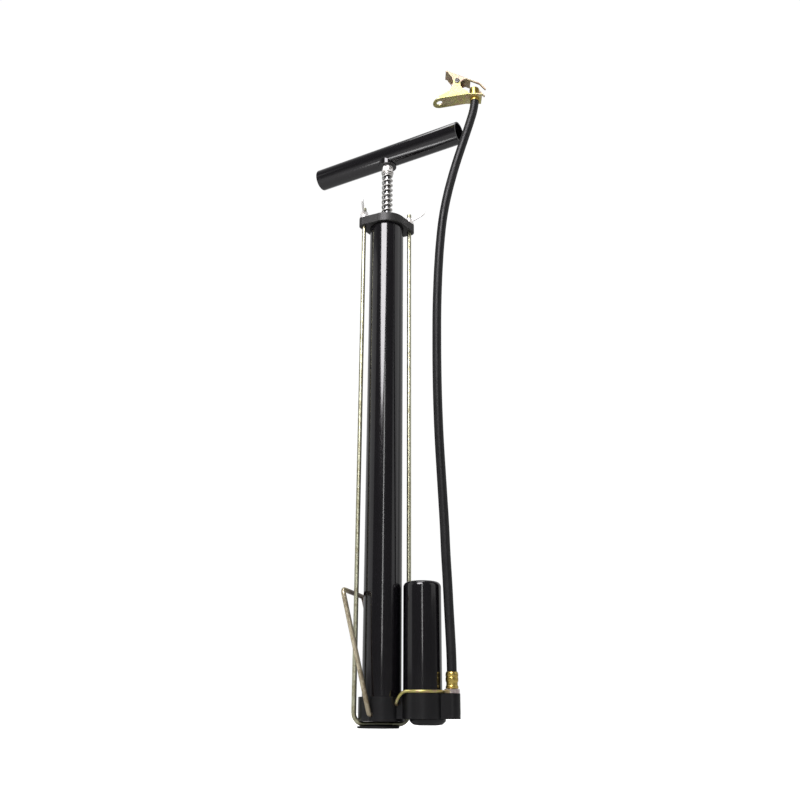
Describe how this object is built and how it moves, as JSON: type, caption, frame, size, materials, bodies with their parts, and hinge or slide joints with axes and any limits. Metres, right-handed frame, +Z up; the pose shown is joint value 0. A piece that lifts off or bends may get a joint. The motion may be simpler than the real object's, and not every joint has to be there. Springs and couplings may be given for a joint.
{
  "type": "foot air pump",
  "caption": "Tall hand-driven barrel pump with an air tank, fold-down foot stirrup, turning cross handle on a sprung stop, rubber hose and sprung clip-on valve connector.",
  "frame": {"origin": "on the floor under the barrel's axis, in the middle of the rubber pad's underside area", "axes": "+Z up along the barrel, +X from the barrel to the air tank and the hose fitting, +Y to the left of +X"},
  "size_m": [0.2225, 0.0944, 0.6995],
  "materials": {
    "black_paint": "glossy black baked paint",
    "casting_paint": "slightly rough glossy black paint on a casting",
    "black_rubber": "matte black rubber",
    "hose_rubber": "matte dark grey rubber",
    "zinc_wire": "drawn wire, pale zinc plate",
    "yellow_zinc": "yellow passivated zinc plate",
    "bright_zinc": "bright zinc plate",
    "rod_steel": "ground steel rod",
    "spring_steel": "plated spring wire",
    "brass": "turned brass",
    "cup_leather": "oiled leather",
    "cage_brass": "turned brass"
  },
  "bodies": {
    "base": {"base_casting": "casting_paint", "base_pad": "black_rubber", "core_plug": "casting_paint", "barrel_gasket": "black_rubber", "barrel_tube": "black_paint", "tank_gasket": "black_rubber", "tank_shell": "black_paint", "tank_clip": "yellow_zinc", "valve_cage": "cage_brass", "valve_spring": "spring_steel", "tie_rod": "zinc_wire", "top_cap": "casting_paint", "cap_gasket": "black_rubber", "rod_bush": "brass", "buffer_spring": "spring_steel", "hose_nipple": "bright_zinc", "hose_ferrule": "brass", "hose": "hose_rubber", "chuck_nozzle": "brass", "chuck_seal": "black_rubber", "chuck_lower_lever": "yellow_zinc", "chuck_pin": "rod_steel", "chuck_spring": "spring_steel"},
    "buffer": {"buffer_washer": "bright_zinc"},
    "piston": {"piston_cup": "cup_leather", "piston_backing": "rod_steel", "piston_washer": "rod_steel", "piston_nut": "bright_zinc"},
    "plunger": {"piston_rod": "rod_steel", "lock_nut": "bright_zinc", "handle_boss": "black_paint", "handle_tube": "black_paint"},
    "stirrup": {"foot_stirrup": "zinc_wire"},
    "nut_left": {"wing_nut_left": "bright_zinc"},
    "nut_right": {"wing_nut_right": "bright_zinc"},
    "jaw_lever": {"chuck_upper_lever": "bright_zinc"},
    "valve": {"valve_disc": "black_rubber"}
  },
  "joints": [
    {"name": "buffer_press", "type": "slide", "parent": "base", "child": "buffer", "axis": [0, 0, 1], "range_m": [-0.012, 0], "stiffness_N_per_m": 4000, "springref_m": 0.005, "deforming": ["buffer_spring"]},
    {"name": "rod_slide", "type": "slide", "parent": "buffer", "child": "piston", "axis": [0, 0, 1], "range_m": [0, 0.45]},
    {"name": "handle_turn", "type": "hinge", "parent": "piston", "child": "plunger", "pos_m": [0, 0, 0.6], "axis": [0, 0, 1], "continuous": true},
    {"name": "stirrup_fold", "type": "hinge", "parent": "base", "child": "stirrup", "pos_m": [-0.0043, 0, 0.0124], "axis": [0, -1, 0], "range_deg": [-1, 81.5]},
    {"name": "nut_left_turn", "type": "hinge", "parent": "base", "child": "nut_left", "pos_m": [-0.02312, -0.01335, 0.55], "axis": [0, 0, 1], "continuous": true},
    {"name": "nut_right_turn", "type": "hinge", "parent": "base", "child": "nut_right", "pos_m": [0.02312, 0.01335, 0.55], "axis": [0, 0, 1], "continuous": true},
    {"name": "jaw_open", "type": "hinge", "parent": "base", "child": "jaw_lever", "pos_m": [0.09423, -0.04484, 0.684], "axis": [0.2672, -0.9636, 0], "range_deg": [0, 20], "stiffness_Nm_per_rad": 0.3, "springref_deg": -17.19},
    {"name": "valve_lift", "type": "slide", "parent": "base", "child": "valve", "axis": [0, 0, 1], "range_m": [0, 0.002], "stiffness_N_per_m": 50, "springref_m": -0.003, "deforming": ["valve_spring"]}
  ]
}
